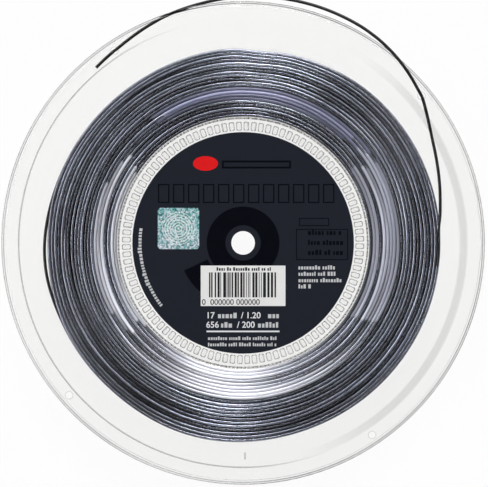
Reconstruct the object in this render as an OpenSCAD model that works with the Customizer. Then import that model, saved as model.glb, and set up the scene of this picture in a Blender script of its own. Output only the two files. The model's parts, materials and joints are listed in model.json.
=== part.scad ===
// A reel of racket string: a clear two-part reel, its wound string with the
// loose end threaded through the front rim, and the label and stickers.
// It lies on its back: +Z leaves the labelled front, +Y is the label's top,
// and the origin is the centre of the rear rim's standing plane.

/* [Reel] */
// Outer diameter of both flanges
reel_d = 178; // [172:1:220]
// Clear width between the flanges
channel_w = 27.5; // [20:0.5:40]
// Outer diameter of the hub that carries the string
hub_d = 91.2; // [88:0.2:110]
// Diameter of the spindle bore
bore_d = 8.5; // [6:0.1:12]

/* [Flanges] */
// Thickness of a flange plate
plate_t = 1.2; // [1:0.1:1.6]
// Width of the raised margin, from the step to the edge
margin_w = 6.1; // [5:0.1:8]
// Radial width of the sloping step inside the margin
step_w = 3; // [1.5:0.1:4]
// Height that the margin stands out from the plate
step_h = 0.8; // [0.4:0.1:1.2]
// Width of the rounded bead along the edge
bead_w = 0.9; // [0.6:0.1:1.4]
// Height that the bead stands out from the margin
bead_h = 0.4; // [0.2:0.1:0.8]
// Rounding of the bead's corners
bead_round = 0.25; // [0.1:0.05:0.28]
// Height of the ring that centres the hub on the flange
locating_h = 1.2; // [0.6:0.1:2]
// Thickness of that ring
locating_t = 0.8; // [0.5:0.1:1.2]

/* [Threading holes] */
// Diameter of the holes that hold the loose end
hole_d = 2.6; // [2.4:0.1:3]
// Distance from the flange's edge to the middle of a hole
hole_inset = 3.85; // [3:0.05:4.5]

/* [Hub] */
// Number of cells around the hub
cell_count = 100; // [60:2:110]
// Radial depth of a cell
cell_depth = 3.2; // [2:0.1:4]
// Thickness of the rib between two cells
rib_t = 0.75; // [0.5:0.05:1]
// Corner cut of a cell
cell_corner = 0.35; // [0.1:0.05:0.5]
// Wall outside the cells, under the string
outer_wall = 1; // [0.6:0.1:2]
// Wall inside the cells
inner_wall = 0.6; // [0.4:0.1:2]
// Rounding where the hub meets a flange
hub_fillet = 0.9; // [0.3:0.1:1.2]
// Height of the pegs that lock the two halves
peg_h = 3; // [1:0.5:8]
// Solid land that carries the pegs
land_t = 2; // [1:0.5:4]

/* [Spindle collar] */
// Wall of the collar around the bore
collar_wall = 2.4; // [2:0.1:5]
// Wall of the spigot at the end of the front collar
spigot_wall = 1.1; // [0.6:0.1:1.5]
// Length of the spigot
spigot_h = 4; // [2:0.5:8]

/* [String] */
// Diameter of the string
string_d = 1.2; // [1:0.01:1.35]
// Outer diameter of the wound string
wound_d = 145.4; // [120:0.2:150]
// Least gap between two turns of the outer layer
turn_gap = 0.41; // [0.41:0.01:1]

/* [Label] */
// Distance from the hub's cells in to the label's edge
label_inset = 0.6; // [0.3:0.1:3]
// Thickness of the label
label_t = 0.2; // [0.1:0.05:0.3]
// Depth of the recess that holds the label
recess_depth = 0.25; // [0.1:0.05:0.4]
// Thickness of a sticker
sticker_t = 0.1; // [0.05:0.05:0.2]
// Width of the wide sticker
wide_sticker_w = 31.2; // [20:0.2:40]
// Height of the wide sticker
wide_sticker_h = 14.9; // [8:0.1:18]
// Distance from the label's bottom up to the wide sticker
wide_sticker_inset = 17.55; // [14:0.05:18]
// Side of the square sticker
square_sticker = 15.2; // [8:0.1:18]
// Distance from the label's left edge to the square sticker
square_sticker_inset = 9.4; // [6:0.1:14]
// Corner radius of the square sticker
sticker_corner = 1.2; // [0.2:0.1:3]

/* [Clearances] */
// Gap around the label in its recess
label_gap = 0.2; // [0.05:0.05:0.5]
// Gap around each peg in its cell
peg_gap = 0.1; // [0.05:0.01:0.2]
// Gap around the spigot in its socket
spigot_gap = 0.08; // [0.03:0.01:0.2]
// Gap between the locating ring and the hub
locating_gap = 0.1; // [0.05:0.01:0.3]
// Gap between the wound string and what holds it
string_gap = 0.2; // [0.05:0.05:0.5]

/* [Hidden] */
$fn = 120;

// Radii
reel_r = reel_d / 2;
bore_r = bore_d / 2;
margin_r = reel_r - margin_w;
plateau_r = margin_r - step_w;
hole_r = reel_r - hole_inset;
hub_r = hub_d / 2;
cell_outer_r = hub_r - outer_wall;
cell_inner_r = cell_outer_r - cell_depth;
hub_inner_r = cell_inner_r - inner_wall;
cell_mid_r = (cell_outer_r + cell_inner_r) / 2;
cell_w = 2 * PI * cell_mid_r / cell_count - rib_t;
label_r = cell_inner_r - label_inset;
collar_r = bore_r + collar_wall;
spigot_r = bore_r + spigot_wall;

// Heights above the standing plane
rim_h = step_h + bead_h;
rear_inner_z = rim_h + plate_t;
front_inner_z = rear_inner_z + channel_w;
parting_z = rear_inner_z + channel_w / 2;
label_z = front_inner_z + plate_t - recess_depth;
sticker_z = label_z + label_t;

// Angles, counter-clockwise from +X
threading_angles = [39.5, 123.8, 221.2, 303.9];
first_cell_angle = 2;
// Where the string leaves the wound layer
leaving_angle = 1;

// Moulding mark on the plate, just inside the step
mark_w = 0.7;
mark_l = 2.6;
mark_h = 0.15;
mark_angle = 270.5;

// Middle of each sticker on the label
square_sticker_rise = 5.3;
wide_sticker_at = [0, wide_sticker_inset + wide_sticker_h / 2 - label_r];
square_sticker_at = [square_sticker_inset + square_sticker / 2 - label_r, square_sticker_rise];

// Colours
clear_plastic = [0.93, 0.94, 0.93, 0.4];
string_black = "#2b2d35";
label_black = "#21242c";
paper_white = "#f2f2ef";
foil_teal = "#7fb9b4";

// Small overlap that makes a cut run past a face
past = 0.5;
// Sides that small holes and roundings are drawn with
small_sides = 24;

// The outer layer has at most this many turns
most_turns = 24;
// Gap between the outer layer and the core under it
core_gap = 0.1;

// ---- The string's path ----

// The wound tube has 24 rings in a loop and 6 sides
loop_rings = 24;
loop_sides = 6;
cord_sides = 8;
cord_ring_step = 2.9;
string_r = string_d / 2;
turn_r = wound_d / 2 - string_r;
// Between two rings the tube runs straight, so its middle dips to this radius
chord_r = turn_r * cos(180 / loop_rings);
core_r = chord_r - string_r - core_gap;
first_turn_z = rear_inner_z + string_gap + string_r;
last_turn_z = front_inner_z - string_gap - string_r;

// The layers under the outer one. Each layer's last turn shows as a rib on the
// core's sides, and every second layer's lies in the groove between its
// neighbours, half a string deeper.
first_layer_r = hub_r + hub_fillet + string_r;
layers = floor((turn_r - first_layer_r) / string_d);
layer_pitch = (turn_r - first_layer_r) / layers;
groove_depth = 0.8;
rib_sides = 16;
turns = min(most_turns, floor((last_turn_z - first_turn_z) / (string_d + turn_gap)));
turn_pitch = (last_turn_z - first_turn_z) / turns;

// The loose end, from where it leaves the wound layer to its cut end. It runs
// along the channel, out through a threading hole, over the rim, back in under
// it and out again through the next hole. A point is the angle about the axis,
// the way out (0 on the wound layer, 1 at the holes) and the height above the
// plate's inner face.
loose_end = [
    [2, 0, -0.8], [4.8, 0.02, -0.8], [8, 0.09, -0.8], [12.3, 0.17, -0.8],
    [16.4, 0.26, -0.8], [20.4, 0.35, -0.8], [24.5, 0.45, -0.8], [28.5, 0.56, -0.75],
    [31.3, 0.66, -0.65], [34, 0.77, -0.35], [36.4, 0.87, -0.05], [38.1, 0.945, 0],
    [38.9, 0.98, 0.2], [39.3, 0.995, 0.75], [39.5, 1, 1.4], [39.7, 1, 2],
    [40.1, 1.01, 2.5], [41, 1.03, 2.7], [42.5, 1.07, 2.7], [44.3, 1.12, 2.8],
    [46.2, 1.17, 3], [48.2, 1.22, 3.1], [50.2, 1.265, 3.1], [52.3, 1.305, 3.1],
    [54.6, 1.345, 3.1], [57.5, 1.385, 3], [61.5, 1.425, 2.8], [66.5, 1.45, 2.5],
    [72, 1.465, 2.1], [78, 1.465, 1.6], [84, 1.45, 1.1], [90, 1.42, 0.6],
    [95.5, 1.38, 0.2], [100.5, 1.33, 0.05], [105, 1.285, 0.05], [109, 1.235, 0.05],
    [112.7, 1.175, 0.05], [116.3, 1.115, 0.05], [119.5, 1.06, 0.05], [121.4, 1.03, 0.1],
    [122.4, 1.015, 0.1], [123.2, 1.005, 0.3], [123.6, 1, 0.8], [123.8, 1, 1.4],
    [124, 1, 2], [124.4, 0.99, 2.5], [125.2, 0.98, 2.7], [127.4, 0.955, 2.7],
    [130, 0.925, 2.7]
];

function placed(point) =
    let (r = turn_r + point[1] * (hole_r - turn_r))
    [r * cos(point[0]), r * sin(point[0]), front_inner_z + point[2]];

loose_end_points = [for (point = loose_end) placed(point)];

function unit(v) = v / norm(v);

// A point on the smooth curve from b to c, where a and d are the points beyond
function curve_point(a, b, c, d, t) =
    b + t * (c - a) / 2
    + t * t * (a - 2.5 * b + 2 * c - d / 2)
    + t * t * t * (-a + 3 * b - 3 * c + d) / 2;

// The points where a route's rings stand: at its own points and evenly between them
function ring_points(route, step) = let (last = len(route) - 1) concat(
    [for (i = [0:last - 1])
        let (
            a = route[max(i - 1, 0)],
            b = route[i],
            c = route[i + 1],
            d = route[min(i + 2, last)],
            count = max(1, round(norm(c - b) / step))
        )
        for (k = [0:count - 1]) curve_point(a, b, c, d, k / count)],
    [route[last]]
);

function direction(points, i) =
    unit(points[min(i + 1, len(points) - 1)] - points[max(i - 1, 0)]);

// Corners of the ring at one point, square to the path
function ring_corners(centre, along, radius, sides) =
    let (
        side = unit(cross(along, [0, 0, 1])),
        up = cross(side, along)
    )
    [for (k = [0:sides - 1])
        let (a = 360 * (k + 0.5) / sides)
        centre + radius * (cos(a) * side + sin(a) * up)];

// A closed tube along points, with triangles all over
module tube(points, radius, sides) {
    rings = len(points);
    corners = [for (i = [0:rings - 1])
        each ring_corners(points[i], direction(points, i), radius, sides)];
    walls = [for (i = [0:rings - 2], k = [0:sides - 1])
        let (
            a = i * sides + k,
            b = i * sides + (k + 1) % sides
        )
        each [[a, b, b + sides], [a, b + sides, a + sides]]];
    start_cap = [for (k = [1:sides - 2]) [0, k + 1, k]];
    base = (rings - 1) * sides;
    end_cap = [for (k = [1:sides - 2]) [base, base + k, base + k + 1]];
    polyhedron(points = corners, faces = concat(walls, start_cap, end_cap));
}

// The outer layer's path: one helix. Its first end rises square from the core,
// and its last end runs straight on into the loose end.
turn_points = [for (i = [0:turns * loop_rings])
    let (
        a = leaving_angle + 360 * i / loop_rings,
        z = first_turn_z + turn_pitch * i / loop_rings
    )
    [turn_r * cos(a), turn_r * sin(a), z]];
last_turn_point = len(turn_points) - 1;
on_core = [core_r * cos(leaving_angle), core_r * sin(leaving_angle), first_turn_z];
outer_turns_path = concat([on_core], turn_points, [loose_end_points[0]]);

// The gap is measured from ring to ring between neighbouring turns
turn_gaps = [for (i = [0:last_turn_point - loop_rings])
    min([for (k = [-1:1])
        if (i + loop_rings + k <= last_turn_point)
            norm(turn_points[i + loop_rings + k] - turn_points[i])]) - string_d];
echo(least_gap_between_turns = min(turn_gaps));

// ---- The reel ----

// Half section of a flange with its inner face at zero and its outside up
module flange_section(recess) {
    polygon(concat(
        [[bore_r, 0], [plateau_r, 0], [margin_r, step_h]],
        [[reel_r - bead_w / 2, step_h], [reel_r - bead_w / 2, step_h + plate_t]],
        [[margin_r, step_h + plate_t], [plateau_r, plate_t]],
        recess
            ? [[label_r + label_gap, plate_t],
               [label_r + label_gap, plate_t - recess_depth],
               [bore_r, plate_t - recess_depth]]
            : [[bore_r, plate_t]]
    ));
    bead_section();
    translate([hub_inner_r - locating_gap - locating_t, -locating_h])
        square([locating_t, locating_h + plate_t / 2]);
}

// Bead along the flange's edge, with a flat to stand on between its rounded corners
module bead_section() {
    full_h = plate_t + bead_h;
    translate([reel_r - bead_w, step_h]) {
        translate([0, bead_round])
            square([bead_w, full_h - 2 * bead_round]);
        translate([bead_round, 0])
            square([bead_w - 2 * bead_round, full_h]);
        for (x = [bead_round, bead_w - bead_round], z = [bead_round, full_h - bead_round])
            translate([x, z])
                circle(r = bead_round, $fn = small_sides);
    }
}

module flange(recess) {
    rotate_extrude()
        flange_section(recess);
}

module front_flange() {
    color(clear_plastic)
        translate([0, 0, front_inner_z])
            difference() {
                union() {
                    flange(true);
                    moulding_mark();
                }
                threading_holes();
            }
}

module threading_holes() {
    for (a = threading_angles)
        rotate([0, 0, a])
            translate([hole_r, 0, step_h - past])
                cylinder(d = hole_d, h = plate_t + 2 * past, $fn = small_sides);
}

module moulding_mark() {
    rotate([0, 0, mark_angle])
        translate([plateau_r - mark_l - mark_h, -mark_w / 2, plate_t / 2])
            cube([mark_l, mark_w, plate_t / 2 + mark_h]);
}

module rear_flange() {
    color(clear_plastic)
        translate([0, 0, rear_inner_z])
            mirror([0, 0, 1])
                flange(false);
}

// Outline of one cell, drawn in by a gap on every side
module cell_outline(gap) {
    x = cell_depth / 2 - gap;
    y = cell_w / 2 - gap;
    c = cell_corner;
    translate([cell_mid_r, 0])
        polygon([
            [x, y - c], [x - c, y], [c - x, y], [-x, y - c],
            [-x, c - y], [c - x, -y], [x - c, -y], [x, c - y]
        ]);
}

module cell_outlines(gap) {
    for (i = [0:cell_count - 1])
        rotate([0, 0, first_cell_angle + 360 * i / cell_count])
            cell_outline(gap);
}

module hub_ring(height) {
    linear_extrude(height)
        difference() {
            circle(r = hub_r);
            circle(r = hub_inner_r);
        }
}

// A hub ring whose cells run right through
module celled_ring(height) {
    linear_extrude(height)
        difference() {
            circle(r = hub_r);
            circle(r = hub_inner_r);
            cell_outlines(0);
        }
}

// Foot of the hub with its rounding, standing on a flange's inner face at zero
module hub_foot() {
    rotate_extrude()
        difference() {
            translate([hub_r - outer_wall / 2, 0])
                square([outer_wall / 2 + hub_fillet, hub_fillet]);
            translate([hub_r + hub_fillet, hub_fillet])
                circle(r = hub_fillet, $fn = small_sides);
        }
}

module front_hub() {
    color(clear_plastic) {
        translate([0, 0, parting_z])
            celled_ring(front_inner_z - parting_z);
        translate([0, 0, front_inner_z])
            mirror([0, 0, 1])
                hub_foot();
    }
}

// The rear half stands on open cells and ends in a land with a crown of pegs
module rear_hub() {
    celled_h = channel_w / 2 - land_t;
    color(clear_plastic)
        translate([0, 0, rear_inner_z]) {
            celled_ring(celled_h);
            hub_foot();
            translate([0, 0, celled_h])
                hub_ring(land_t);
            translate([0, 0, celled_h + land_t / 2])
                linear_extrude(land_t / 2 + peg_h)
                    cell_outlines(peg_gap);
        }
}

module front_collar() {
    color(clear_plastic)
        difference() {
            union() {
                translate([0, 0, parting_z])
                    cylinder(r = collar_r, h = front_inner_z - parting_z);
                translate([0, 0, parting_z - spigot_h])
                    cylinder(r = spigot_r, h = spigot_h + past);
            }
            translate([0, 0, parting_z - spigot_h - past])
                cylinder(r = bore_r, h = channel_w);
        }
}

module rear_collar() {
    socket_h = spigot_h + spigot_gap;
    color(clear_plastic)
        difference() {
            translate([0, 0, rear_inner_z])
                cylinder(r = collar_r, h = parting_z - rear_inner_z);
            translate([0, 0, rear_inner_z - past])
                cylinder(r = bore_r, h = channel_w);
            translate([0, 0, parting_z - socket_h])
                cylinder(r = spigot_r + spigot_gap, h = socket_h + past);
        }
}

// ---- The string ----

// Half section of the inner layers, with its middle height at zero
module core_section() {
    inner_r = hub_r + string_gap;
    half_h = channel_w / 2 - string_gap;
    intersection() {
        translate([inner_r, -half_h])
            square([core_r - inner_r, 2 * half_h]);
        union() {
            translate([inner_r, groove_depth - half_h])
                square([core_r - inner_r, 2 * (half_h - groove_depth)]);
            for (i = [0:layers - 1], side = [-1, 1]) {
                sunk = i % 2 == 0 ? 0 : string_r;
                translate([first_layer_r + i * layer_pitch, side * (half_h - string_r - sunk)])
                    circle(r = string_r, $fn = rib_sides);
            }
        }
    }
}

module string_core() {
    color(string_black)
        translate([0, 0, parting_z])
            rotate_extrude()
                core_section();
}

module string_outer_turns() {
    color(string_black)
        tube(outer_turns_path, string_r, loop_sides);
}

module string_loose_end() {
    color(string_black)
        tube(ring_points(loose_end_points, cord_ring_step), string_r, cord_sides);
}

// ---- The label and its stickers ----

module label() {
    color(label_black)
        translate([0, 0, label_z])
            linear_extrude(label_t)
                difference() {
                    circle(r = label_r);
                    circle(r = bore_r + label_gap / 2);
                }
}

module wide_sticker() {
    color(paper_white)
        translate([wide_sticker_at.x, wide_sticker_at.y, sticker_z + sticker_t / 2])
            cube([wide_sticker_w, wide_sticker_h, sticker_t], center = true);
}

module square_sticker() {
    straight = square_sticker - 2 * sticker_corner;
    color(foil_teal)
        translate([square_sticker_at.x, square_sticker_at.y, sticker_z])
            linear_extrude(sticker_t) {
                square([straight, square_sticker], center = true);
                square([square_sticker, straight], center = true);
                for (x = [-1, 1], y = [-1, 1])
                    translate([x, y] * straight / 2)
                        circle(r = sticker_corner, $fn = small_sides);
            }
}

rear_flange();
rear_hub();
rear_collar();
front_flange();
front_hub();
front_collar();
string_core();
string_outer_turns();
string_loose_end();
label();
wide_sticker();
square_sticker();
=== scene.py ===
"""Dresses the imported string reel: clear plastic, wound string, label, loose end and studio."""

import json
import math
import random

import bmesh
import bpy
import numpy as np
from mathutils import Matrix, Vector

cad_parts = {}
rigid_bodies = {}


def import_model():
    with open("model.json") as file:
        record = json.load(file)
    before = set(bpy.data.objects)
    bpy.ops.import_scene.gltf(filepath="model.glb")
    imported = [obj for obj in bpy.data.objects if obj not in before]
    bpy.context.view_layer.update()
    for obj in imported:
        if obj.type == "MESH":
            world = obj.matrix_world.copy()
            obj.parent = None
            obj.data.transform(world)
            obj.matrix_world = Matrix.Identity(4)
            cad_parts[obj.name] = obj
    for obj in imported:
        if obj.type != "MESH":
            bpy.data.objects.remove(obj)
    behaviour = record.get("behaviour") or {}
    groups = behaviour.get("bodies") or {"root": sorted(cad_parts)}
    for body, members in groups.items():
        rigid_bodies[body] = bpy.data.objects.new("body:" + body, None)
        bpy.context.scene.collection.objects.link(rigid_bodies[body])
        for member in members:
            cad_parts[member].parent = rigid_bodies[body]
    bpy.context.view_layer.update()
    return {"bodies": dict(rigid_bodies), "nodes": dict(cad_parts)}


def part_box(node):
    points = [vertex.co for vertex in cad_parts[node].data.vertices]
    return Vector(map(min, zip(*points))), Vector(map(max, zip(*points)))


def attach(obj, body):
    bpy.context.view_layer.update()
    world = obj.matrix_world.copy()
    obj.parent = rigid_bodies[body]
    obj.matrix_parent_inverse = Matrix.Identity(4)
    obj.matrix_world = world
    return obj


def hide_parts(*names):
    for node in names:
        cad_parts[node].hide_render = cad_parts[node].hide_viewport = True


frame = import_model()
BODY = next(iter(frame["bodies"]))

MM = 0.001

# ---------------- sizes
# Lengths are those of the part's source, and heights come from the frame
REEL_R = 89.0 * MM
PLATE_T = 1.2 * MM
MARGIN_R = REEL_R - 6.1 * MM
PLATEAU_R = MARGIN_R - 3.0 * MM
STEP_H = 0.8 * MM
STRING_D = 1.2 * MM
STRING_R = STRING_D / 2
STRING_GAP = 0.2 * MM
HOLE_R = REEL_R - 3.85 * MM
HUB_R = 45.6 * MM
HUB_FILLET = 0.9 * MM
CELL_LOW_R, CELL_HIGH_R = HUB_R - 4.2 * MM, HUB_R - 1.0 * MM
FRONT_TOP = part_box("front_hub")[1].z
REAR_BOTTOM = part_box("rear_hub")[0].z
PARTING_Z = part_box("front_hub")[0].z
TURN_R = 72.1 * MM
LABEL_BOTTOM, LABEL_TOP = (corner.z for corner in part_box("label"))
WIDE_LOW, WIDE_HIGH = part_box("wide_sticker")

# The photograph's frame and how far one pixel reaches at the front flange
FRAME_W, FRAME_H = 488, 487
PIXEL = 0.36815 * MM
# The reel's centre in the photograph, in pixels
REEL_PX, REEL_PY = 243.1, 242.9


def px(x):
    """Metres to the right of the reel's centre, of a pixel column of the photograph."""
    return (x - REEL_PX) * PIXEL


def py(y):
    """Metres above the reel's centre, of a pixel row of the photograph."""
    return (REEL_PY - y) * PIXEL


def new_object(name, data):
    made = bpy.data.objects.new(name, data)
    bpy.context.scene.collection.objects.link(made)
    return made


# ---------------- camera
# The camera's height above the front flange and how far it sees, both in metres, and its
# sensor's width in millimetres
CAMERA_DISTANCE, CAMERA_REACH, SENSOR_W = 3.2, 50.0, 36.0


def make_camera():
    """Looks straight down on the front flange from far off."""
    data = bpy.data.cameras.new("camera")
    data.sensor_width = SENSOR_W
    data.lens = SENSOR_W * CAMERA_DISTANCE / (FRAME_W * PIXEL)
    data.clip_end = CAMERA_REACH
    camera = new_object("camera", data)
    camera.location = (px(FRAME_W / 2), py(FRAME_H / 2), FRONT_TOP + PLATE_T + CAMERA_DISTANCE)
    bpy.context.scene.camera = camera


# ---------------- node helpers
class Nodes:
    """A material's or world's node tree, with short ways to add and link nodes."""

    def __init__(self, owner):
        owner.use_nodes = True
        self.tree = owner.node_tree
        self.tree.nodes.clear()

    def add(self, kind, inputs=None, **settings):
        node = self.tree.nodes.new(kind)
        for key, value in settings.items():
            setattr(node, key, value)
        for key, value in (inputs or {}).items():
            self.put(node, key, value)
        return node

    def put(self, node, key, value):
        socket = node.inputs[key]
        if isinstance(value, bpy.types.NodeSocket):
            self.tree.links.new(value, socket)
        elif isinstance(value, bpy.types.Node):
            self.tree.links.new(value.outputs[0], socket)
        else:
            socket.default_value = value

    def math(self, operation, a, b=0.0, c=0.0):
        node = self.add("ShaderNodeMath", operation=operation)
        for index, value in enumerate((a, b, c)):
            self.put(node, index, value)
        return node.outputs[0]

    def ramp(self, factor, stops):
        node = self.add("ShaderNodeValToRGB", {"Fac": factor})
        elements = node.color_ramp.elements
        while len(elements) < len(stops):
            elements.new(0.5)
        for element, (position, colour) in zip(elements, stops):
            element.position = position
            element.color = (*colour, 1.0)
        return node.outputs["Color"]

    def step(self, value, low, high):
        """0 below low, 1 above high, smooth between."""
        node = self.add(
            "ShaderNodeMapRange",
            {"Value": value, "From Min": low, "From Max": high},
            interpolation_type="SMOOTHSTEP",
        )
        return node.outputs["Result"]

    def mix(self, factor, a, b):
        node = self.add("ShaderNodeMix", data_type="RGBA")
        self.put(node, 0, factor)
        for index, value in ((6, a), (7, b)):
            self.put(node, index, (*value, 1.0) if isinstance(value, tuple) else value)
        return node.outputs[2]

    def noise(self, scale, detail=3.0, vector=None):
        node = self.add("ShaderNodeTexNoise", {"Scale": scale, "Detail": detail})
        self.put(node, "Vector", vector or self.place())
        return node.outputs["Fac"]

    def place(self):
        return self.add("ShaderNodeTexCoord").outputs["Object"]

    def bump(self, height, strength, distance):
        return self.add(
            "ShaderNodeBump",
            {"Height": height, "Strength": strength, "Distance": distance},
        ).outputs["Normal"]

    def principled(self, **inputs):
        words = {key.replace("_", " "): value for key, value in inputs.items()}
        return self.add("ShaderNodeBsdfPrincipled", words).outputs["BSDF"]

    def surface(self, shader):
        self.add("ShaderNodeOutputMaterial", {"Surface": shader})


def material(name):
    made = bpy.data.materials.new(name)
    return made, Nodes(made)


# ---------------- materials
CLEAR = (0.999, 0.998, 0.994)
CLEAR_SHADOW = (0.96, 0.96, 0.955, 1.0)
BLACK, WHITE = (0.0, 0.0, 0.0), (1.0, 1.0, 1.0)
# Faint flow marks of the clear plastic: their scale, how much they roughen it, and the
# strength and depth of their relief
FLOW_SCALE, FLOW_ROUGHNESS, FLOW_BUMP, FLOW_DEPTH = 28.0, 0.02, 0.12, 0.6 * MM

# Painted shade lines on the clear plastic's front half, where its edges refract dark
# surroundings: inner and outer radius and softness, all in millimetres, and depth. The first
# ones run round its edge, with a strength that changes along them: the scale of its noise,
# the noise's share and what is always there
EDGE_SHADE_LINES = [(87.95, 88.40, 0.08, 0.56), (88.62, 89.0, 0.08, 0.50)]
EDGE_SCALE, EDGE_SHARE, EDGE_LEAST = 14.0, 1.2, 0.4
# The next ones are painted on one side only, where shade falls: the painted shade line at the
# step, and the broad painted shadow band inside it. Each has the azimuth of its middle and the
# cosines at which it starts and is full
SIDE_SHADE_LINES = [
    (82.4, 82.9, 0.08, 0.46, 200, -0.1, 0.4),
    (79.8, 82.6, 0.5, 0.19, -8, 0.35, 0.8),
]
# Azimuths of the threading holes in degrees, and the painted shade line round each, written
# as above
HOLES_AT = (39.5, 123.8, 221.2, 303.9)
HOLE_SHADE_LINE = (1.28, 1.5, 0.06, 0.30)
# Painted shade that draws the moulding mark: its azimuth, inner and outer radius and half
# width in millimetres, softness and depth
MARK_SHADE_LINE = (270.5, 77.15, 79.75, 0.35, 0.1, 0.34)


def clear_plastic():
    """Clear moulded polystyrene: refracts, with faint flow marks and painted shade lines."""
    made, n = material("clear_polystyrene")
    place = n.place()
    part = n.add("ShaderNodeSeparateXYZ", {"Vector": place})
    x, y = part.outputs["X"], part.outputs["Y"]
    radius = n.math("SQRT", n.math("MULTIPLY_ADD", x, x, n.math("MULTIPLY", y, y)))

    def ring(reach, low, high, soft):
        inner = n.step(reach, (low - soft) * MM, (low + soft) * MM)
        outer = n.step(reach, (high - soft) * MM, (high + soft) * MM)
        return n.math("SUBTRACT", inner, outer)

    # Painted shade: grey lines at the edges, the step, the holes and the moulding mark, where the
    # plastic refracts dark surroundings, and a painted shadow band on one side
    marks = n.math("MULTIPLY_ADD", n.noise(EDGE_SCALE, 1.0), EDGE_SHARE, EDGE_LEAST)
    front = n.math("GREATER_THAN", part.outputs["Z"], PARTING_Z)
    grey = 0.0
    for low, high, soft, depth in EDGE_SHADE_LINES:
        strength = n.math("MULTIPLY", marks, depth)
        grey = n.math("MULTIPLY_ADD", ring(radius, low, high, soft), strength, grey)
    for low, high, soft, depth, azimuth, start, full in SIDE_SHADE_LINES:
        azimuth = math.radians(azimuth)
        along = n.math("MULTIPLY", y, math.sin(azimuth))
        along = n.math("MULTIPLY_ADD", x, math.cos(azimuth), along)
        side = n.step(n.math("DIVIDE", along, radius), start, full)
        side = n.math("MULTIPLY", side, ring(radius, low, high, soft))
        grey = n.math("MULTIPLY_ADD", side, depth, grey)
    low, high, soft, depth = HOLE_SHADE_LINE
    for azimuth in (math.radians(a) for a in HOLES_AT):
        middle = (HOLE_R * math.cos(azimuth), HOLE_R * math.sin(azimuth), 0)
        flat = n.add("ShaderNodeVectorMath", {0: place, 1: (1, 1, 0)}, operation="MULTIPLY")
        reach = n.add("ShaderNodeVectorMath", {0: flat, 1: middle}, operation="DISTANCE")
        line = ring(reach.outputs["Value"], low, high, soft)
        grey = n.math("MULTIPLY_ADD", line, depth, grey)
    azimuth, low, high, half, soft, depth = MARK_SHADE_LINE
    sine, cosine = math.sin(math.radians(azimuth)), math.cos(math.radians(azimuth))
    along = n.math("MULTIPLY_ADD", x, cosine, n.math("MULTIPLY", y, sine))
    across = n.math("MULTIPLY_ADD", y, cosine, n.math("MULTIPLY", x, -sine))
    length, width = ring(along, low, high, soft), ring(across, -half, half, soft)
    tick = n.math("MULTIPLY", length, width)
    grey = n.math("MULTIPLY_ADD", tick, depth, grey)
    grey = n.math("MULTIPLY", grey, front)

    flow = n.noise(FLOW_SCALE, 2.0)
    glass = n.principled(
        Base_Color=n.mix(grey, CLEAR, BLACK),
        Roughness=n.math("MULTIPLY", flow, FLOW_ROUGHNESS),
        IOR=1.4,
        Transmission_Weight=1.0,
        Normal=n.bump(flow, FLOW_BUMP, FLOW_DEPTH),
    )
    shade = n.add("ShaderNodeBsdfTransparent", {"Color": CLEAR_SHADOW})
    light_path = n.add("ShaderNodeLightPath")
    mixed = n.add("ShaderNodeMixShader", {0: light_path.outputs["Is Shadow Ray"]})
    n.put(mixed, 1, glass)
    n.put(mixed, 2, shade.outputs[0])
    n.surface(mixed.outputs[0])
    return made


# Faint streaks along the string: how long they are, how many lie round it, and by how much
# they change its roughness
STREAK, STREAKS_ROUND, STREAK_ROUGHNESS = 14.0 * MM, 5.0, 0.1
# Share of the metallic look that the string loses under its painted sheen, where its turns
# lie flush
SHEEN_MATT = 0.7


def string_material(name, dark, light, roughness, metal):
    """Smooth graphite monofilament: metallic pigment with faint streaks along it, brighter
    or darker from turn to turn, with painted shade and painted light, and a painted
    sheen and glare where neighbouring turns lie flush."""
    made, n = material(name)
    way = n.add("ShaderNodeSeparateXYZ", {"Vector": n.add("ShaderNodeUVMap", uv_map="way")})
    along, around = way.outputs["X"], way.outputs["Y"]
    stretched = n.add("ShaderNodeCombineXYZ", {"X": n.math("DIVIDE", along, STREAK)})
    n.put(stretched, "Y", n.math("MULTIPLY", around, STREAKS_ROUND))
    streak = n.noise(1.0, 3.0, stretched.outputs[0])
    colour = n.ramp(streak, [(0.3, dark), (0.7, light)])
    # Random tone from turn to turn, with painted shade and painted light in it
    tone = n.add("ShaderNodeAttribute", attribute_name="tone")
    # Painted sheen and painted glare, from the sheen attribute
    sheen = n.add("ShaderNodeAttribute", attribute_name="sheen")
    colour = n.mix(sheen.outputs["Alpha"], colour, sheen.outputs["Color"])
    colour = n.add("ShaderNodeVectorMath", {0: colour}, operation="SCALE")
    n.put(colour, "Scale", n.math("ADD", tone.outputs["Fac"], 1.0))
    smoothest = roughness - STREAK_ROUGHNESS / 2
    n.surface(
        n.principled(
            Base_Color=colour.outputs[0],
            Metallic=n.math("MULTIPLY_ADD", sheen.outputs["Alpha"], -SHEEN_MATT * metal, metal),
            Roughness=n.math("MULTIPLY_ADD", streak, STREAK_ROUGHNESS, smoothest),
            Specular_IOR_Level=0.6,
        )
    )
    return made


# Printed film: the scale of its mottling, how dark that gets and by how much it changes the
# roughness, and the scale, strength and depth of its orange peel
MOTTLE_SCALE, MOTTLE_DARK, MOTTLE_ROUGHNESS = 220.0, 0.93, 0.1
PEEL_SCALE, PEEL_STRENGTH, PEEL_DEPTH = 1500.0, 0.08, 0.05 * MM
# Specks of dust: the scale of their cells, their radius in cells, the share of cells that
# stay clean, and the specks' strength and colour
DUST_SCALE, DUST_R, DUST_FREE, DUST_STRENGTH = 150.0, 0.035, 0.8, 0.6
DUST = (0.5, 0.52, 0.56)


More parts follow.
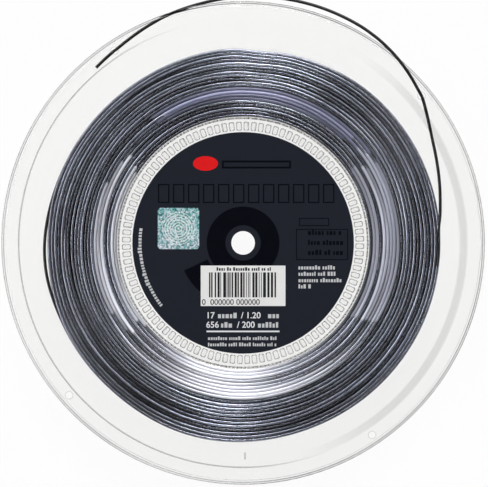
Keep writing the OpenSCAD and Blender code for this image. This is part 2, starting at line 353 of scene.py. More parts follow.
def film(name, colour, roughness, specular, dust=False):
    """Printed film: nearly even colour, faint mottling and a fine orange-peel surface."""
    made, n = material(name)
    mottle = n.noise(MOTTLE_SCALE, 3.0)
    dark = tuple(c * MOTTLE_DARK for c in colour)
    shade = n.mix(mottle, dark, colour)
    if dust:
        cells = n.add("ShaderNodeTexVoronoi", {"Scale": DUST_SCALE, "Vector": n.place()})
        chance = n.add("ShaderNodeSeparateColor", {"Color": cells.outputs["Color"]})
        chosen = n.math("GREATER_THAN", chance.outputs["Red"], DUST_FREE)
        speck = n.math("LESS_THAN", cells.outputs["Distance"], DUST_R)
        speck = n.math("MULTIPLY", speck, chosen)
        shade = n.mix(n.math("MULTIPLY", speck, DUST_STRENGTH), shade, DUST)
    smoothest = roughness - MOTTLE_ROUGHNESS / 2
    n.surface(
        n.principled(
            Base_Color=shade,
            Roughness=n.math("MULTIPLY_ADD", mottle, MOTTLE_ROUGHNESS, smoothest),
            Specular_IOR_Level=specular,
            Normal=n.bump(n.noise(PEEL_SCALE, 2.0), PEEL_STRENGTH, PEEL_DEPTH),
        )
    )
    return made


# The foil's glitter: the scale of its cells, their colours, and its relief
GLITTER_SCALE, GLITTER_BUMP, GLITTER_DEPTH = 1900.0, 0.3, 0.03 * MM
GLITTER = [
    (0.0, (0.005, 0.05, 0.06)),
    (0.4, (0.14, 0.44, 0.42)),
    (0.6, (0.46, 0.70, 0.78)),
    (0.8, (0.72, 0.68, 0.80)),
    (1.0, (0.98, 1.0, 1.0)),
]
# The foil's broad change of colour, its share beside the glitter, how fast it runs
# downwards for each metre, and the scale of the noise that bends it
SWEEP = [(0.2, (0.12, 0.50, 0.46)), (0.55, (0.30, 0.66, 0.62)), (0.9, (0.62, 0.74, 0.84))]
SWEEP_SHARE, SWEEP_RATE, SWEEP_SCALE = 0.2, -60.0, 110.0
# The foil's rings: their pitch, how many pitches they reach out, their strength and colour
RING_PITCH, RING_REACH, RING_STRENGTH = 0.95 * MM, 6.3, 0.7
RING = (0.95, 1.0, 0.98)


def foil():
    """Teal diffraction foil, paler and bluer towards its lower edge, with fine glitter and
    plain concentric rings."""
    made, n = material("security_foil")
    low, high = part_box("square_sticker")
    middle = (low + high) / 2
    place = n.add("ShaderNodeVectorMath", {0: n.place(), 1: middle}, operation="SUBTRACT")
    cells = n.add("ShaderNodeTexVoronoi", {"Scale": GLITTER_SCALE, "Vector": place.outputs[0]})
    chance = n.add("ShaderNodeSeparateColor", {"Color": cells.outputs["Color"]})
    glitter = n.ramp(chance.outputs["Red"], GLITTER)
    part = n.add("ShaderNodeSeparateXYZ", {"Vector": place.outputs[0]})
    bend = n.noise(SWEEP_SCALE, 2.0)
    sweep = n.ramp(n.math("MULTIPLY_ADD", part.outputs["Y"], SWEEP_RATE, bend), SWEEP)
    reach = n.add("ShaderNodeVectorMath", {0: place.outputs[0]}, operation="LENGTH")
    reach = n.math("DIVIDE", reach.outputs["Value"], RING_PITCH)
    rings = n.step(n.math("SINE", n.math("MULTIPLY", reach, 2 * math.pi)), 0.1, 0.7)
    rings = n.math("MULTIPLY", rings, n.math("LESS_THAN", reach, RING_REACH))
    colour = n.mix(SWEEP_SHARE, glitter, sweep)
    n.surface(
        n.principled(
            Base_Color=n.mix(n.math("MULTIPLY", rings, RING_STRENGTH), colour, RING),
            Metallic=0.1,
            Roughness=0.38,
            Normal=n.bump(cells.outputs["Distance"], GLITTER_BUMP, GLITTER_DEPTH),
        )
    )
    return made


# ---------------- mesh helpers
def add_piece(name, mesh, made, replaces=()):
    mesh.materials.clear()
    mesh.materials.append(made)
    piece = new_object(name, mesh)
    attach(piece, BODY)
    if replaces:
        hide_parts(*replaces)
    return piece


def new_mesh(name, points, faces, smooth=True, way=None, sheen=None, tone=None):
    """A mesh, with its texture way per corner and its sheen and tone per point if given."""
    mesh = bpy.data.meshes.new(name)
    mesh.from_pydata([tuple(p) for p in points], [], [tuple(f) for f in faces])
    mesh.polygons.foreach_set("use_smooth", [smooth] * len(mesh.polygons))
    if way is not None:
        mesh.uv_layers.new(name="way").data.foreach_set("uv", np.ravel(way))
    if sheen is not None:
        colours = mesh.color_attributes.new("sheen", "FLOAT_COLOR", "POINT")
        colours.data.foreach_set("color", np.ravel(sheen))
    if tone is not None:
        mesh.attributes.new("tone", "FLOAT", "POINT").data.foreach_set("value", tone)
    mesh.update()
    return mesh


def grid_faces(rows, columns, first=0, closed=False):
    """Quads between consecutive rings of points, the last joined to the first if closed."""
    spans = rows if closed else rows - 1
    i, k = np.meshgrid(np.arange(spans), np.arange(columns), indexing="ij")
    j, m = (i + 1) % rows, (k + 1) % columns
    corners = [i * columns + k, i * columns + m, j * columns + m, j * columns + k]
    return np.stack(corners, -1).reshape(-1, 4) + first


def grid_way(along, columns):
    """Texture way of the same quads' corners: metres along the tube and turns around it."""
    i, k = np.meshgrid(np.arange(len(along) - 1), np.arange(columns), indexing="ij")
    corners = [(along[i], k), (along[i], k + 1), (along[i + 1], k + 1), (along[i + 1], k)]
    return np.stack([np.stack([u, v / columns], -1) for u, v in corners], 2).reshape(-1, 2)


def ring_tube(angles, radius, height, thick, sides):
    """Points of a closed tube round the axis: radius and height are arrays over the angles."""
    turn = 2 * np.pi * np.arange(sides) / sides
    out = radius[:, None] + thick * np.cos(turn)[None, :]
    up = height[:, None] + thick * np.sin(turn)[None, :]
    return np.stack(
        [out * np.cos(angles)[:, None], out * np.sin(angles)[:, None], up], -1
    ).reshape(-1, 3)


def smooth_wave(rng, angles, waves, size):
    """A smooth closed random curve over the angles, of about the given size."""
    total = np.zeros_like(angles)
    for k in range(1, waves + 1):
        total += rng.normal() * np.cos(k * angles + rng.uniform(0, 2 * np.pi)) / math.sqrt(k)
    return size * total / math.sqrt(sum(1 / k for k in range(1, waves + 1)))


def lathe(name, profile, steps, made, replaces=()):
    """A closed half section, as (radius, height) points, turned round the axis."""
    angles = 2 * np.pi * np.arange(steps) / steps
    out, up = np.array(profile).T[:, None, :]
    x, y = np.cos(angles)[:, None] * out, np.sin(angles)[:, None] * out
    points = np.stack([x, y, np.ones(steps)[:, None] * up], -1).reshape(-1, 3)
    faces = grid_faces(steps, len(profile), closed=True)
    return add_piece(name, new_mesh(name, points, faces, False), made, replaces)


def sweep(points, thick, sides):
    """Points, faces and texture way of a capped tube along a path that never runs straight
    up."""
    points = np.asarray(points)
    along = np.gradient(points, axis=0)
    along /= np.linalg.norm(along, axis=1)[:, None]
    side = np.cross(along, [0, 0, 1])
    side /= np.linalg.norm(side, axis=1)[:, None]
    up = np.cross(side, along)
    turn = 2 * np.pi * (np.arange(sides) + 0.5) / sides
    rings = (
        points[:, None, :]
        + thick * np.cos(turn)[None, :, None] * side[:, None, :]
        + thick * np.sin(turn)[None, :, None] * up[:, None, :]
    )
    faces = [tuple(f) for f in grid_faces(len(points), sides)]
    last = (len(points) - 1) * sides
    faces.append(tuple(reversed(range(sides))))
    faces.append(tuple(last + k for k in range(sides)))
    run = np.concatenate([[0], np.cumsum(np.linalg.norm(np.diff(points, axis=0), axis=1))])
    way = np.concatenate([grid_way(run, sides), np.zeros((2 * sides, 2))])
    return rings.reshape(-1, 3), faces, way


# ---------------- clear mouldings
# Points this near to each other are one point
WELD = 1e-6
# Faces that touch another piece stand off by this much, so that each refracts by itself
STAND_OFF = 0.03 * MM
# Roundings of the flanges' steps and of the cells' rims. An edge counts as one from
# EDGE_ANGLE degrees on, and is found by its place to within EDGE_NEAR
ROUNDING = 0.35 * MM
CELL_ROUNDING = 0.3 * MM
EDGE_ANGLE, EDGE_NEAR = 10, 0.02 * MM
# Faces that meet at more than this many degrees keep a sharp edge between them
SHARP_ANGLE = 12
# The moulding mark ends 0.15 mm from the plateau's outer edge, which is rounded less
MARK_ROUNDING = 0.12 * MM


def welded(node):
    """The CAD node's form as an object of its own, with its points joined up."""
    shape = bmesh.new()
    shape.from_mesh(frame["nodes"][node].data)
    bmesh.ops.remove_doubles(shape, verts=shape.verts, dist=WELD)
    mesh = bpy.data.meshes.new(node + "_form")
    mesh.from_pydata(
        [v.co[:] for v in shape.verts], [], [[v.index for v in f.verts] for f in shape.faces]
    )
    shape.free()
    return new_object(node + "_form", mesh)


def edges_at(shape, height, low, high):
    """Real edges at one height whose ends both lie between two radii."""
    return [
        e for e in shape.edges
        if e.calc_face_angle(0) > math.radians(EDGE_ANGLE)
        and all(
            abs(v.co.z - height) < EDGE_NEAR
            and low - EDGE_NEAR < v.co.xy.length < high + EDGE_NEAR
            for v in e.verts
        )
    ]


def rounded(shape, edges, size):
    bmesh.ops.bevel(shape, geom=edges, offset=size, segments=2, profile=0.5, affect="EDGES")


def moulding(name, nodes, made, inner_z, outward):
    """One clear moulding: the CAD nodes that are moulded in one piece, with its corners
    rounded. outward is 1 where the flange faces up and -1 where it faces down."""
    pieces = [welded(node) for node in nodes]
    for other in pieces[1:]:
        join = pieces[0].modifiers.new("join", "BOOLEAN")
        join.operation, join.solver, join.object = "UNION", "EXACT", other
    graph = bpy.context.evaluated_depsgraph_get()
    joined = bpy.data.meshes.new_from_object(pieces[0].evaluated_get(graph))
    for piece in pieces:
        bpy.data.objects.remove(piece)

    shape = bmesh.new()
    shape.from_mesh(joined)
    bmesh.ops.remove_doubles(shape, verts=shape.verts, dist=WELD)
    rounded(shape, edges_at(shape, inner_z, CELL_LOW_R, CELL_HIGH_R), CELL_ROUNDING)
    for radius, height in ((PLATEAU_R, 0), (MARGIN_R, STEP_H)):
        for face in (0, PLATE_T):
            edges = edges_at(shape, inner_z + outward * (height + face), radius, radius)
            beside_mark = radius == PLATEAU_R and face == PLATE_T
            rounded(shape, edges, MARK_ROUNDING if beside_mark else ROUNDING)
    for v in shape.verts:
        if abs(v.co.z - PARTING_Z) < WELD:
            v.co.z += outward * STAND_OFF / 2
        if abs(v.co.z - LABEL_BOTTOM) < WELD:
            v.co.z -= STAND_OFF
    mesh = bpy.data.meshes.new(name)
    shape.to_mesh(mesh)
    shape.free()
    mesh.polygons.foreach_set("use_smooth", [True] * len(mesh.polygons))
    mesh.set_sharp_from_angle(angle=math.radians(SHARP_ANGLE))
    return add_piece(name, mesh, made, nodes)


# ---------------- wound string
LAYERS = 21
FIRST_TURN_R = HUB_R + HUB_FILLET + STRING_R
LAYER_PITCH = (TURN_R - FIRST_TURN_R) / (LAYERS - 1)
SIDE_STEPS = 720
SIDE_SIDES = 16
# Seeds of the random draws
FRONT_SEED, REAR_SEED, OUTER_SEED, PRINT_SEED = 11, 23, 5, 7

# Stretches where neighbouring turns lie flush and carry a painted sheen: the angles where a
# stretch starts and ends, at its inner and at its outer radius, both radii in millimetres,
# and its colour. A stretch's edges soften over a share of its width and over some degrees
SHEEN_SOFT, SHEEN_SOFT_DEGREES = 0.05, 0.8
SHEENS = [
    ((326, 329), (394, 390), (51.2, 54.2), (0.33, 0.34, 0.40)),
    ((328, 330), (401, 391), (54.2, 57.3), (0.26, 0.27, 0.33)),
    ((48, 33), (120.5, 128), (53.0, 55.2), (0.135, 0.14, 0.21)),
    ((48, 33), (120.5, 128), (55.2, 57.5), (0.19, 0.195, 0.29)),
    ((145, 139), (221, 217), (51.2, 53.4), (0.52, 0.53, 0.59)),
    ((144, 162), (208, 208.8), (53.2, 55.4), (0.42, 0.43, 0.49)),
    ((147, 143), (221, 214), (46.9, 49.2), (0.55, 0.56, 0.62)),
    ((325, 327), (393, 395), (47.4, 50.0), (0.26, 0.27, 0.32)),
]
# The broad painted glare at the bottom, a painted highlight: inner and outer radius in
# millimetres, middle and spread in degrees and strength of each part of it. Its edges soften
# over GLOW_SOFT millimetres, and its turns go from loose to flush between two strengths of it
GLOW_SOFT = 0.4
GLOW_FLUSH = (0.15, 0.6)
GLOWS = [
    (53.7, 57.6, 270.0, 41.0, 0.82), (45.5, 54.0, 259.5, 20.0, 0.70),
    (45.5, 54.0, 264.0, 45.0, 0.25), (46.2, 49.6, 268.0, 32.0, 0.35),
]
GLOW = (0.80, 0.81, 0.88)
# How far a flush stretch is pulled level, and how far a painted sheen or the painted glare
# evens out the differences in brightness
LEVELLED, EVENED = 0.6, 0.6
# Painted shade between turns: how much darker a turn is painted where it meets its
# neighbours than at its crest
GAP_PAINTED_SHADE = 0.42
# Painted shade where the turns are painted darker than elsewhere, and painted light where
# brighter if negative: inner and outer radius in millimetres, middle and spread in degrees,
# and by how much. Their edges soften over DIMMED_SOFT millimetres
DIMMED_SOFT = 0.5
PAINTED_SHADE_PLACES = [
    (45.5, 49.3, 108, 30, 0.18), (49.3, 52.0, 94, 50, 0.50), (51.9, 54.5, 116, 20, 0.42),
    (54.5, 57.5, 150, 17, 0.42), (49.7, 52.3, 266, 50, 0.38), (58.9, 65.5, 268, 18, -0.25),
    (64.5, 74.0, 300, 22, 0.18), (64.5, 74.0, 238, 20, 0.36), (65.5, 72.5, 82, 26, -0.20),
    (65.5, 72.5, 150, 16, -0.20),
]
# Where the outside of the winding stands in or out from round: middle and spread in
# degrees, and how far out in millimetres
SLUMPS = [
    (72, 14, -0.8), (85, 6, -0.9), (125, 38, -1.5),
    (182, 12, -0.4), (214, 12, 0.3), (257, 22, 1.0),
]
# The same for the outer layer's last turn, which has come loose and stands off
LOOSE_TURN = (184.5, 16, 1.7)
# How the side turns wander in and out: waves round the reel, size, and the share that the
# next layer keeps
DRIFT_WAVES, DRIFT, DRIFT_KEPT = 9, 0.13 * MM, 0.6
# How deep every second layer lies between its neighbours, by how much that differs, by how
# much the other layers' depth does, and in how many waves
SUNK, SUNK_SPREAD, OTHER_SPREAD, SUNK_WAVES = 0.42 * MM, 0.26 * MM, 0.14 * MM, 12
# How the side turns' brightness differs: between turns, along a turn, in how many waves, and
# the least and the greatest difference
TONE_BETWEEN, TONE_ALONG, TONE_WAVES = 0.22, 0.26, 6
TONE_LEAST, TONE_MOST = -0.4, 0.9
# The outer layer: from turn to turn in string diameters, straight pieces in a turn, and
# sides of its tube
OUTER_PITCH, OUTER_STEPS, OUTER_SIDES = 1.004, 240, 10
# How it wanders: waves, their size, how far they are stretched, and the number of straight
# pieces over which they and the slumps fade out at its end
WOBBLE_WAVES, WOBBLE, WOBBLE_STRETCH, FADE_STEPS = 40, 0.035 * MM, 0.37, 60
# The plain filling behind the turns: how far it stays from the flanges, the innermost and
# the outermost turns, and its number of sides
FILL_ENDS, FILL_INSIDE, FILL_OUTSIDE, FILL_SIDES = 2 * MM, 0.3 * MM, 1.6 * MM, 240


def smooth_step(value, low, high):
    t = np.clip((value - low) / (high - low), 0, 1)
    return t * t * (3 - 2 * t)


def off_from(degrees, middle):
    """Degrees from a middle, between -180 and 180."""
    return (degrees - middle + 180) % 360 - 180


def swell(degrees, middle, spread):
    """A smooth rise and fall, 1 in its middle."""
    return np.exp(-((off_from(degrees, middle) / spread) ** 2))


def within(radius, low, high, soft):
    """1 between low and high and 0 outside, softened at both; all but radius are in
    millimetres."""
    depth = (high - low) / 2 * MM - np.abs(radius - (low + high) / 2 * MM)
    return smooth_step(depth, -soft * MM, soft * MM)


def sheen_at(angles, radius):
    """How flush the turns lie, their painted sheen colour with its strength, and the painted
    glare's share of it, over the angles."""
    degrees = np.degrees(angles) % 360
    flush = np.zeros_like(angles)
    colour = np.zeros((len(angles), 4))
    for starts, ends, radii, shade in SHEENS:
        share = (radius - radii[0] * MM) / ((radii[1] - radii[0]) * MM)
        start = starts[0] + (starts[1] - starts[0]) * np.clip(share, 0, 1)
        end = ends[0] + (ends[1] - ends[0]) * np.clip(share, 0, 1)
        inside = smooth_step(share, -SHEEN_SOFT, SHEEN_SOFT)
        inside = inside * smooth_step(1 - share, -SHEEN_SOFT, SHEEN_SOFT)
        reach = (end - start) / 2 - np.abs(off_from(degrees, (start + end) / 2))
        inside = inside * smooth_step(reach, -SHEEN_SOFT_DEGREES, SHEEN_SOFT_DEGREES)
        flush = np.maximum(flush, inside)
        colour[:, :3] += (inside * (1 - colour[:, 3]))[:, None] * np.array(shade)
        colour[:, 3] += inside * (1 - colour[:, 3])
    glow = np.zeros_like(angles)
    for low, high, middle, spread, share in GLOWS:
        glow += share * swell(degrees, middle, spread) * within(radius, low, high, GLOW_SOFT)
    glow = np.minimum(glow, 1)
    flush = np.maximum(flush, smooth_step(glow, *GLOW_FLUSH))
    strength = colour[:, 3] + glow * (1 - colour[:, 3])
    mixed = colour[:, :3] * (1 - glow)[:, None] + glow[:, None] * np.array(GLOW)
    colour[:, :3] = mixed / np.maximum(strength, 1e-6)[:, None]
    colour[:, 3] = strength
    return flush, colour, glow


def painted_shade_at(angles, radius):
    """How much darker the turns are painted over the angles: painted shade, and painted light
    where negative.
    """
    degrees = np.degrees(angles) % 360
    total = np.zeros_like(angles)
    for low, high, middle, spread, amount in PAINTED_SHADE_PLACES:
        inside = within(radius, low, high, DIMMED_SOFT)
        total += amount * swell(degrees, middle, spread) * inside
    return total


def slump(angles, places=SLUMPS):
    """How far the outside of the winding stands in or out from round, over the angles."""
    degrees = np.degrees(angles) % 360
    total = np.zeros_like(angles)
    for middle, spread, out in places:
        total += out * MM * swell(degrees, middle, spread)
    return total


def side_turns(name, face_z, inward, made, seed):
    """The turns that lie against one flange: every second layer's lies in the groove
    between its neighbours, and all wander a little."""
    rng = np.random.default_rng(seed)
    angles = 2 * np.pi * np.arange(SIDE_STEPS) / SIDE_STEPS
    points, faces, ways, sheens, tones = [], [], [], [], []
    drift = np.zeros_like(angles)
    # How far each side of a tube faces a neighbour, for the painted shade between turns
    across = np.cos(2 * np.pi * np.arange(SIDE_SIDES) / SIDE_SIDES)[None, :] ** 2
    for layer in range(LAYERS):
        share = layer / (LAYERS - 1)
        drift = DRIFT_KEPT * drift + smooth_wave(rng, angles, DRIFT_WAVES, DRIFT)
        radius = FIRST_TURN_R + layer * LAYER_PITCH + drift * math.sin(math.pi * share)
        radius += slump(angles) * share**2
        flush, sheen, glow_share = sheen_at(angles, radius)
        if layer % 2:
            sunk = SUNK + smooth_wave(rng, angles, SUNK_WAVES, SUNK_SPREAD)
        else:
            sunk = smooth_wave(rng, angles, SUNK_WAVES, OTHER_SPREAD)
        sunk = np.abs(sunk) * (1 - LEVELLED * flush)
        height = face_z + inward * (STRING_R + sunk)
        first = sum(len(p) for p in points)
        faces.append(grid_faces(SIDE_STEPS, SIDE_SIDES, first, closed=True))
        points.append(ring_tube(angles, radius, height, STRING_R, SIDE_SIDES))
        run = np.arange(SIDE_STEPS + 1) * 2 * np.pi * radius.mean() / SIDE_STEPS
        ways.append(grid_way(run + rng.uniform(0, 9), SIDE_SIDES))
        sheens.append(np.repeat(sheen, SIDE_SIDES, axis=0))
        tone = rng.normal(0, TONE_BETWEEN) + smooth_wave(rng, angles, TONE_WAVES, TONE_ALONG)
        tone = np.clip(tone, TONE_LEAST, TONE_MOST)
        # Painted shade and painted light from the listed places join the random tone here
        tone = tone * (1 - EVENED * glow_share) - painted_shade_at(angles, radius)
        # Painted shade where a turn meets its neighbours, less under a painted sheen or glare
        gap = GAP_PAINTED_SHADE * (1 - EVENED * sheen[:, 3]) * (1 - glow_share)
        tones.append((tone[:, None] - gap[:, None] * across).ravel())
    mesh = new_mesh(
        name, np.concatenate(points), np.concatenate(faces), way=np.concatenate(ways),
        sheen=np.concatenate(sheens), tone=np.concatenate(tones),
    )
    return add_piece(name, mesh, made)


def outer_layer(made, start_angle):
    """The outer layer's turns, side by side, up to where the loose end leaves them."""
    rng = np.random.default_rng(OUTER_SEED)
    low = REAR_BOTTOM + STRING_GAP + STRING_R
    high = FRONT_TOP - STRING_GAP - STRING_R
    turns = (high - low) / (STRING_D * OUTER_PITCH)
    steps = int(turns * OUTER_STEPS)
    t = np.linspace(0, 1, steps + 1)
    angles = start_angle - 2 * np.pi * turns * (1 - t)
    wobble = smooth_wave(rng, angles * WOBBLE_STRETCH, WOBBLE_WAVES, WOBBLE)
    fade = np.clip((1 - t) * steps / FADE_STEPS, 0, 1)
    last_turn = angles > start_angle - 2 * np.pi
    loose = slump(angles, [LOOSE_TURN]) * last_turn
    radius = TURN_R + (wobble + slump(angles)) * fade + loose
    height = low + (high - low) * t
    path = np.stack([radius * np.cos(angles), radius * np.sin(angles), height], -1)
    points, faces, way = sweep(path, STRING_R, OUTER_SIDES)
    mesh = new_mesh("outer_layer", points, faces, way=way)
    return add_piece("outer_layer", mesh, made)


def filling(made):
    """The layers inside the winding, which only show through gaps between the turns."""
    low, high = REAR_BOTTOM + FILL_ENDS, FRONT_TOP - FILL_ENDS
    inner = FIRST_TURN_R - STRING_R + FILL_INSIDE
    outer = TURN_R - STRING_R - FILL_OUTSIDE
    lathe(
        "inner_layers", [(inner, low), (inner, high), (outer, high), (outer, low)],
        FILL_SIDES, made, replaces=["string_core", "string_outer_turns"],
    )


# ---------------- loose end
# Its route from the wound layer to its cut end: the angle about the axis in degrees,
# the way out (0 on the wound layer, 1 at the threading holes) and the height above
# the front plate's inner face in millimetres, as in the part's source
LOOSE_END = [
    (2, 0, -0.8), (4.8, 0.02, -0.8), (8, 0.09, -0.8), (12.3, 0.17, -0.8),
    (16.4, 0.26, -0.8), (20.4, 0.35, -0.8), (24.5, 0.45, -0.8), (28.5, 0.56, -0.75),
    (31.3, 0.66, -0.65), (34, 0.77, -0.35), (36.4, 0.87, -0.05), (38.1, 0.945, 0),
    (38.9, 0.98, 0.2), (39.3, 0.995, 0.75), (39.5, 1, 1.4), (39.7, 1, 2),
    (40.1, 1.01, 2.5), (41, 1.03, 2.7), (42.5, 1.07, 2.7), (44.3, 1.12, 2.8),
    (46.2, 1.17, 3), (48.2, 1.22, 3.1), (50.2, 1.265, 3.1), (52.3, 1.305, 3.1),
    (54.6, 1.345, 3.1), (57.5, 1.385, 3), (61.5, 1.425, 2.8), (66.5, 1.45, 2.5),
    (72, 1.465, 2.1), (78, 1.465, 1.6), (84, 1.45, 1.1), (90, 1.42, 0.6),
    (95.5, 1.38, 0.2), (100.5, 1.33, 0.05), (105, 1.285, 0.05), (109, 1.235, 0.05),
    (112.7, 1.175, 0.05), (116.3, 1.115, 0.05), (119.5, 1.06, 0.05), (121.4, 1.03, 0.1),
    (122.4, 1.015, 0.1), (123.2, 1.005, 0.3), (123.6, 1, 0.8), (123.8, 1, 1.4),
    (124, 1, 2), (124.4, 0.99, 2.5), (125.2, 0.98, 2.7), (127.4, 0.955, 2.7),
    (130, 0.925, 2.7),
]
# Length of its straight pieces, and sides of its tube
LOOSE_STEP, LOOSE_SIDES = 0.7 * MM, 12


def placed(angle, out, height):
    """A point of the route as x, y and z in metres."""
    r = TURN_R + out * (HOLE_R - TURN_R)
    a = math.radians(angle)
    return np.array([r * math.cos(a), r * math.sin(a), FRONT_TOP + height * MM])


def curve_through(points, step):
    """Points on a smooth curve through the given ones, about a step apart."""
    made = []
    last = len(points) - 1
    for i in range(last):
        a, b = points[max(i - 1, 0)], points[i]
        c, d = points[i + 1], points[min(i + 2, last)]
        count = max(2, round(np.linalg.norm(c - b) / step))
        for t in (k / count for k in range(count)):
            made.append(
                b + t * (c - a) / 2 + t * t * (a - 2.5 * b + 2 * c - d / 2)
                + t**3 * (3 * b - 3 * c + d - a) / 2
            )
    return np.array(made + [points[last]])


def loose_end(made):
    path = curve_through([placed(*p) for p in LOOSE_END], LOOSE_STEP)
    points, faces, way = sweep(path, STRING_R, LOOSE_SIDES)
    mesh = new_mesh("loose_end", points, faces, way=way)
    piece = add_piece("loose_end", mesh, made, ["string_loose_end"])
    return piece


# ---------------- print on the label
INK_T = 0.02 * MM
# Blocks that stand for letters: width, share of low ones, their height, and the gaps after
# a letter and after a word, all but the share for a line of height 1
LETTER_W, LOW_SHARE, LOW_H, LETTER_GAP, WORD_GAP = 0.55, 0.7, 0.74, 0.2, 0.4
# Height of a capital for the font's size
CAPITAL_H = 0.72

# Places on the label in pixels of the photograph. A box is left, bottom, right, top
DOT_X, DOT_Y = 205.5, 163.5
TOP_BOX = (222, 168.5, 291, 160.5)
FIRST_BLOCK_X, BLOCK_PITCH, BLOCK_BOTTOM, BLOCK_TOP, BLOCKS = 158, 15, 203, 184, 12
SMALL_BOX, LARGE_BOX = (299, 226, 329, 218), (296, 260, 348, 229)
# Lines of words: left, right and foot of each
BOX_LINES = [(308, 342, 235), (308, 342, 245), (308, 342, 255)]
RIGHT_LINES = [
    (298.5, 334, 269.5), (298.5, 336, 275.8), (298.5, 341, 282.2), (298.5, 310, 288.4),
]
LOW_LINES = [(208, 277, 340), (208, 276, 346.2)]
UNITS = [(218, 237, 318.2), (268, 279, 318.2), (221, 233, 327.6), (258, 278, 327.6)]
STICKER_LEFT, STICKER_RIGHT = 216.6, 271
# Plain numbers: name, words, left and foot
NUMBERS = [
    ("label_number_1", "17", 206, 318.2), ("label_number_2", "/ 1.20", 241, 318.2),
    ("label_number_3", "656", 206, 327.6), ("label_number_4", "/ 200", 237, 327.6),
]
RULE_BOX = (206.5, 332.2, 279.5, 330.6)
BARS_LEFT, BARS_RIGHT = 209, 276

# Real sizes: heights of the lines of words, and a letter's width in the units for theirs
BOX_WORDS_H, RIGHT_WORDS_H, LOW_WORDS_H = 1.9 * MM, 1.5 * MM, 1.3 * MM
UNITS_H, UNIT_LETTER_W, STICKER_WORDS_H = 2.0 * MM, 0.6, 1.3 * MM
# The numbers' heights, and by how much their strokes are widened on each side
NUMBER_H, NUMBER_BOLD = 2.3 * MM, 0.05 * MM
STICKER_NUMBER_H, STICKER_NUMBER_BOLD = 2.1 * MM, 0.02 * MM
# Half the dot's width and height, a block's width, and the drawn lines' widths
DOT_W, DOT_H, DOT_SIDES = 4.6 * MM, 2.7 * MM, 40
BLOCK_W, BLOCK_LINE, TOP_LINE, BOX_LINE = 4.2 * MM, 0.45 * MM, 0.7 * MM, 0.3 * MM
# Shaded stretches of rings: inner and outer radius, start and end in degrees
SHADED = [
    (6.5 * MM, 13.4 * MM, 0, 180), (6.5 * MM, 13.4 * MM, 180, 360), (14.4 * MM, 24 * MM, 205, 262),
]
# The words that run round the label's left: start and end in degrees and radius of their
# foot; heights in millimetres to choose from, width's range and gap, both in degrees
ROUND_START, ROUND_END, ROUND_R = 171.9, 217.6, 37.4 * MM
ROUND_HEIGHTS, ROUND_WIDTHS, ROUND_GAP = (1.1, 1.1, 1.5), (0.95, 1.5), 0.55
# The wide sticker's bars: their unit, widths and gaps to choose from in units, and how far
# they stay from its lower and its upper edge
BAR_UNIT, BAR_WIDTHS, BAR_GAPS = 0.262 * MM, (1, 1, 2, 2, 3, 4), (1, 1, 2, 2, 3)
BARS_LOW, BARS_HIGH = 3.2 * MM, 2.5 * MM


class Print:
    """Flat printed shapes on one level, gathered into one thin mesh."""

    def __init__(self, z):
        self.z, self.points, self.faces = z, [], []

    def outline(self, corners):
        """A filled convex or simple outline given as (x, y) points in metres."""
        first, n = len(self.points), len(corners)
        self.points += [(x, y, self.z + INK_T) for x, y in corners]
        self.points += [(x, y, self.z) for x, y in corners]
        self.faces.append(tuple(range(first, first + n)))
        self.faces.append(tuple(reversed(range(first + n, first + 2 * n))))
        for k in range(n):
            m = (k + 1) % n
            self.faces.append((first + k, first + n + k, first + n + m, first + m))

    def bar(self, x0, y0, x1, y1):
        self.outline([(x0, y0), (x1, y0), (x1, y1), (x0, y1)])

    def arc(self, r0, r1, a0, a1, steps=48):
        """A stretch of a ring between two radii and two angles in degrees."""
        angles = np.radians(np.linspace(a0, a1, steps + 1))
        outer = [(r1 * math.cos(a), r1 * math.sin(a)) for a in angles]
        inner = [(r0 * math.cos(a), r0 * math.sin(a)) for a in reversed(angles)]
        self.outline(outer + inner)

    def frame(self, x0, y0, x1, y1, line):
        self.bar(x0, y0, x1, y0 + line)
        self.bar(x0, y1 - line, x1, y1)
        self.bar(x0, y0 + line, x0 + line, y1 - line)
        self.bar(x1 - line, y0 + line, x1, y1 - line)

    def make(self, name, made):
        return add_piece(name, new_mesh(name, self.points, self.faces, False), made)


def box_px(x0, y0, x1, y1):
    """The same corners in metres, of corners in pixels of the photograph."""
    return px(x0), py(y0), px(x1), py(y1)


def blank_line(ink, x0, x1, y, height, rng, letter=LETTER_W):
    """A line of small plain blocks with word gaps, where the real label has words."""
    x = x0
    run = rng.randint(3, 8)
    while x < x1:
        width = height * letter * rng.uniform(0.6, 1.1)
        tall = height * (LOW_H if rng.random() < LOW_SHARE else 1.0)
        ink.bar(x, y, x + width, y + tall)
        x += width + height * LETTER_GAP
        run -= 1
        if run == 0:
            x += height * WORD_GAP
            run = rng.randint(2, 8)


def blank_lines(ink, lines, height, rng, letter=LETTER_W):
    """Several such lines, placed in pixels of the photograph."""
    for left, right, foot in lines:
        blank_line(ink, px(left), px(right), py(foot), height, rng, letter)


def numerals(name, words, x, y, height, bold, z, made, slot):
    """Plain numbers as a thin mesh, their strokes widened by bold on each side."""
    data = bpy.data.curves.new(name, "FONT")
    data.body = words
    data.size = height / CAPITAL_H
    data.offset = bold
    data.extrude = INK_T / 2
    holder = new_object(name + "_text", data)
    bpy.context.view_layer.update()
    mesh = bpy.data.meshes.new_from_object(holder)
    bpy.data.objects.remove(holder)
    co = np.zeros(len(mesh.vertices) * 3)
    mesh.vertices.foreach_get("co", co)
    co = co.reshape(-1, 3) + [x, y, z + INK_T / 2]
    mesh.vertices.foreach_set("co", co.ravel())
    return add_piece(name, mesh, made)


